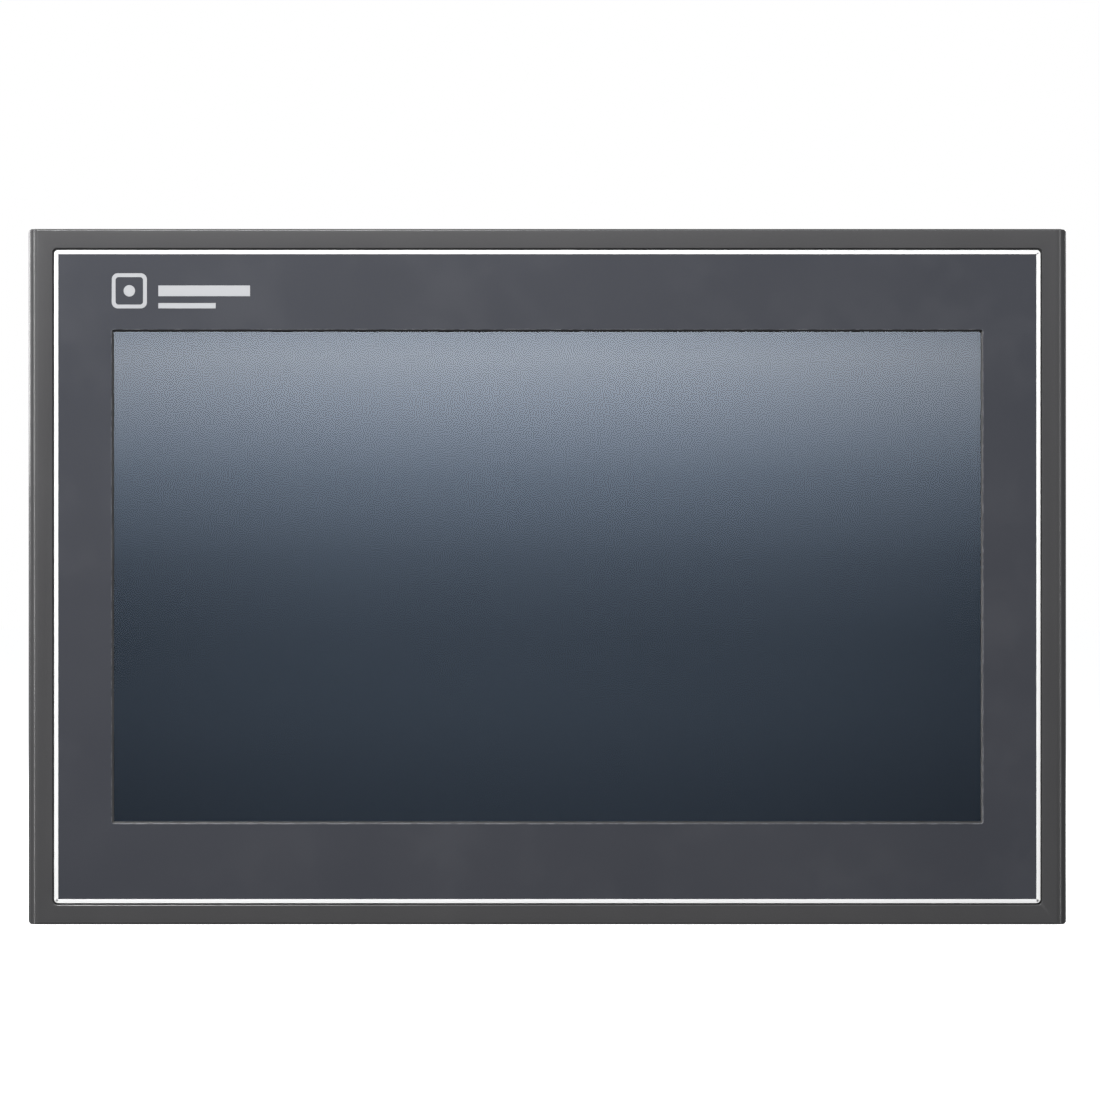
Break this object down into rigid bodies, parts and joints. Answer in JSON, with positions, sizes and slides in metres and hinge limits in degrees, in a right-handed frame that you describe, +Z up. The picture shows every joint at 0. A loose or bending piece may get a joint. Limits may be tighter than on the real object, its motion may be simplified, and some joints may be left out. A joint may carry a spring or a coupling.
{
  "type": "hmi touch panel",
  "caption": "Wide-format operator touch panel for a cabinet cut-out, with a dark bezel, a white-lined overlay, a recessed display, a vented rear housing, ports and screw clamps.",
  "frame": {"origin": "centre of the cabinet cut-out, in the plane of the cabinet panel's front face, which the gasket's rear face touches", "axes": "+X to the right as the operator sees it, +Y into the cabinet, +Z up; the screen faces -Y"},
  "size_m": [0.272, 0.054, 0.182],
  "materials": {
    "bezel_plastic": "fine moulded grain, satin",
    "overlay_film": "satin printed polyester film",
    "printed_white": "screen-printed white ink",
    "printed_grey": "screen-printed light grey ink",
    "gasket_rubber": "closed-cell rubber",
    "black_foam": "adhesive foam",
    "touch_film": "clear hard-coated film",
    "touch_glass": "float glass",
    "flex_cable": "amber polyimide",
    "sheet_steel": "tinned sheet steel",
    "zinc_plate": "zinc-plated sheet steel",
    "display_face": "dark polariser",
    "display_edge": "black masked glass",
    "white_sheet": "white diffusing film",
    "light_guide": "clear acrylic",
    "led_strip": "flexible strip with white emitters",
    "circuit_board": "green solder mask",
    "chip_package": "black epoxy package",
    "black_aluminium": "black anodised",
    "capacitor_can": "aluminium can",
    "inductor_case": "ferrite composite",
    "black_nylon": "moulded",
    "green_nylon": "moulded",
    "plug_green": "moulded",
    "red_nylon": "moulded",
    "white_nylon": "moulded",
    "button_ivory": "moulded",
    "connector_shell": "nickel-plated stamped shell",
    "nickel_screw": "nickel-plated",
    "zinc_screw": "zinc-plated",
    "black_screw": "black-zinc",
    "brass_screw": "yellow-passivated",
    "brass_part": "turned brass",
    "cell_steel": "stainless can",
    "cover_plastic": "spark-eroded texture",
    "door_plastic": "spark-eroded texture",
    "label_foil": "silver polyester label",
    "clamp_steel": "zinc-plated die-cast",
    "clamp_pad": "moulded nylon",
    "clamp_screw": "zinc-plated"
  },
  "bodies": {
    "housing": {"front_bezel": "bezel_plastic", "front_overlay": "overlay_film", "border_line": "printed_white", "maker_mark": "printed_grey", "panel_gasket": "gasket_rubber", "foam_parts": "black_foam", "touch_film": "touch_film", "touch_glass": "touch_glass", "touch_tail": "flex_cable", "lcd_front_frame": "sheet_steel", "lcd_polariser": "display_face", "lcd_cell": "display_edge", "optical_sheets": "white_sheet", "light_guide": "light_guide", "led_strip": "led_strip", "lcd_rear_pan": "sheet_steel", "lcd_driver_board": "circuit_board", "lcd_cable": "white_sheet", "chassis_plate": "zinc_plate", "inner_screws": "zinc_screw", "board_spacers": "brass_part", "port_plate": "zinc_plate", "mainboard": "circuit_board", "processor": "chip_package", "memory_chips": "chip_package", "heat_sink": "black_aluminium", "capacitors": "capacitor_can", "inductors": "inductor_case", "buzzer": "black_nylon", "com_ports": "connector_shell", "com_jack_screws": "nickel_screw", "lan_jack": "connector_shell", "usb_ports": "connector_shell", "power_socket": "green_nylon", "card_socket": "connector_shell", "service_board": "circuit_board", "battery_holder": "black_nylon", "coin_cell": "cell_steel", "dip_switch": "red_nylon", "reset_switch": "black_nylon", "rear_cover": "cover_plastic", "bay_frame": "cover_plastic", "cover_screws": "black_screw", "rating_label": "label_foil", "earth_screw": "brass_screw", "clamp_bodies": "clamp_steel"},
    "door": {"bay_door": "door_plastic"},
    "plug": {"power_plug": "plug_green", "power_plug_screws": "zinc_screw"},
    "lever_1": {"dip_lever_1": "white_nylon"},
    "lever_2": {"dip_lever_2": "white_nylon"},
    "reset": {"reset_button": "button_ivory"},
    "pad_1": {"clamp_pad_1": "clamp_pad"},
    "screw_1": {"clamp_screw_1": "clamp_screw"},
    "pad_2": {"clamp_pad_2": "clamp_pad"},
    "screw_2": {"clamp_screw_2": "clamp_screw"},
    "pad_3": {"clamp_pad_3": "clamp_pad"},
    "screw_3": {"clamp_screw_3": "clamp_screw"},
    "pad_4": {"clamp_pad_4": "clamp_pad"},
    "screw_4": {"clamp_screw_4": "clamp_screw"}
  },
  "joints": [
    {"name": "bay_door_hinge", "type": "hinge", "parent": "housing", "child": "door", "pos_m": [0.045, 0.0445, -0.0127], "axis": [-1, 0, 0], "range_deg": [0, 95]},
    {"name": "power_plug_pull", "type": "slide", "parent": "housing", "child": "plug", "axis": [0, 0, -1], "range_m": [0, 0.012]},
    {"name": "dip_lever_1_slide", "type": "slide", "parent": "housing", "child": "lever_1", "axis": [0, 0, 1], "range_m": [0, 0.0014]},
    {"name": "dip_lever_2_slide", "type": "slide", "parent": "housing", "child": "lever_2", "axis": [0, 0, 1], "range_m": [0, 0.0014]},
    {"name": "reset_button_press", "type": "slide", "parent": "housing", "child": "reset", "axis": [0, -1, 0], "range_m": [0, 0.0005], "stiffness_N_per_m": 400, "springref_m": -0.0004},
    {"name": "clamp_pad_1_slide", "type": "slide", "parent": "housing", "child": "pad_1", "axis": [0, 1, 0], "range_m": [-0.00154, 0.00476]},
    {"name": "clamp_screw_1_turn", "type": "hinge", "parent": "pad_1", "child": "screw_1", "pos_m": [0.108, 0.02, 0.0866], "axis": [0, 1, 0], "range_deg": [-796, 2452]},
    {"name": "clamp_pad_2_slide", "type": "slide", "parent": "housing", "child": "pad_2", "axis": [0, 1, 0], "range_m": [-0.00154, 0.00476]},
    {"name": "clamp_screw_2_turn", "type": "hinge", "parent": "pad_2", "child": "screw_2", "pos_m": [-0.108, 0.02, 0.0866], "axis": [0, 1, 0], "range_deg": [-796, 2452]},
    {"name": "clamp_pad_3_slide", "type": "slide", "parent": "housing", "child": "pad_3", "axis": [0, 1, 0], "range_m": [-0.00154, 0.00476]},
    {"name": "clamp_screw_3_turn", "type": "hinge", "parent": "pad_3", "child": "screw_3", "pos_m": [-0.108, 0.02, -0.0866], "axis": [0, 1, 0], "range_deg": [-796, 2452]},
    {"name": "clamp_pad_4_slide", "type": "slide", "parent": "housing", "child": "pad_4", "axis": [0, 1, 0], "range_m": [-0.00154, 0.00476]},
    {"name": "clamp_screw_4_turn", "type": "hinge", "parent": "pad_4", "child": "screw_4", "pos_m": [0.108, 0.02, -0.0866], "axis": [0, 1, 0], "range_deg": [-796, 2452]}
  ],
  "couplings": [
    {"joint": "clamp_screw_1_turn", "follows": "clamp_pad_1_slide", "rad_per_m": 8976},
    {"joint": "clamp_screw_2_turn", "follows": "clamp_pad_2_slide", "rad_per_m": 8976},
    {"joint": "clamp_screw_3_turn", "follows": "clamp_pad_3_slide", "rad_per_m": 8976},
    {"joint": "clamp_screw_4_turn", "follows": "clamp_pad_4_slide", "rad_per_m": 8976}
  ]
}
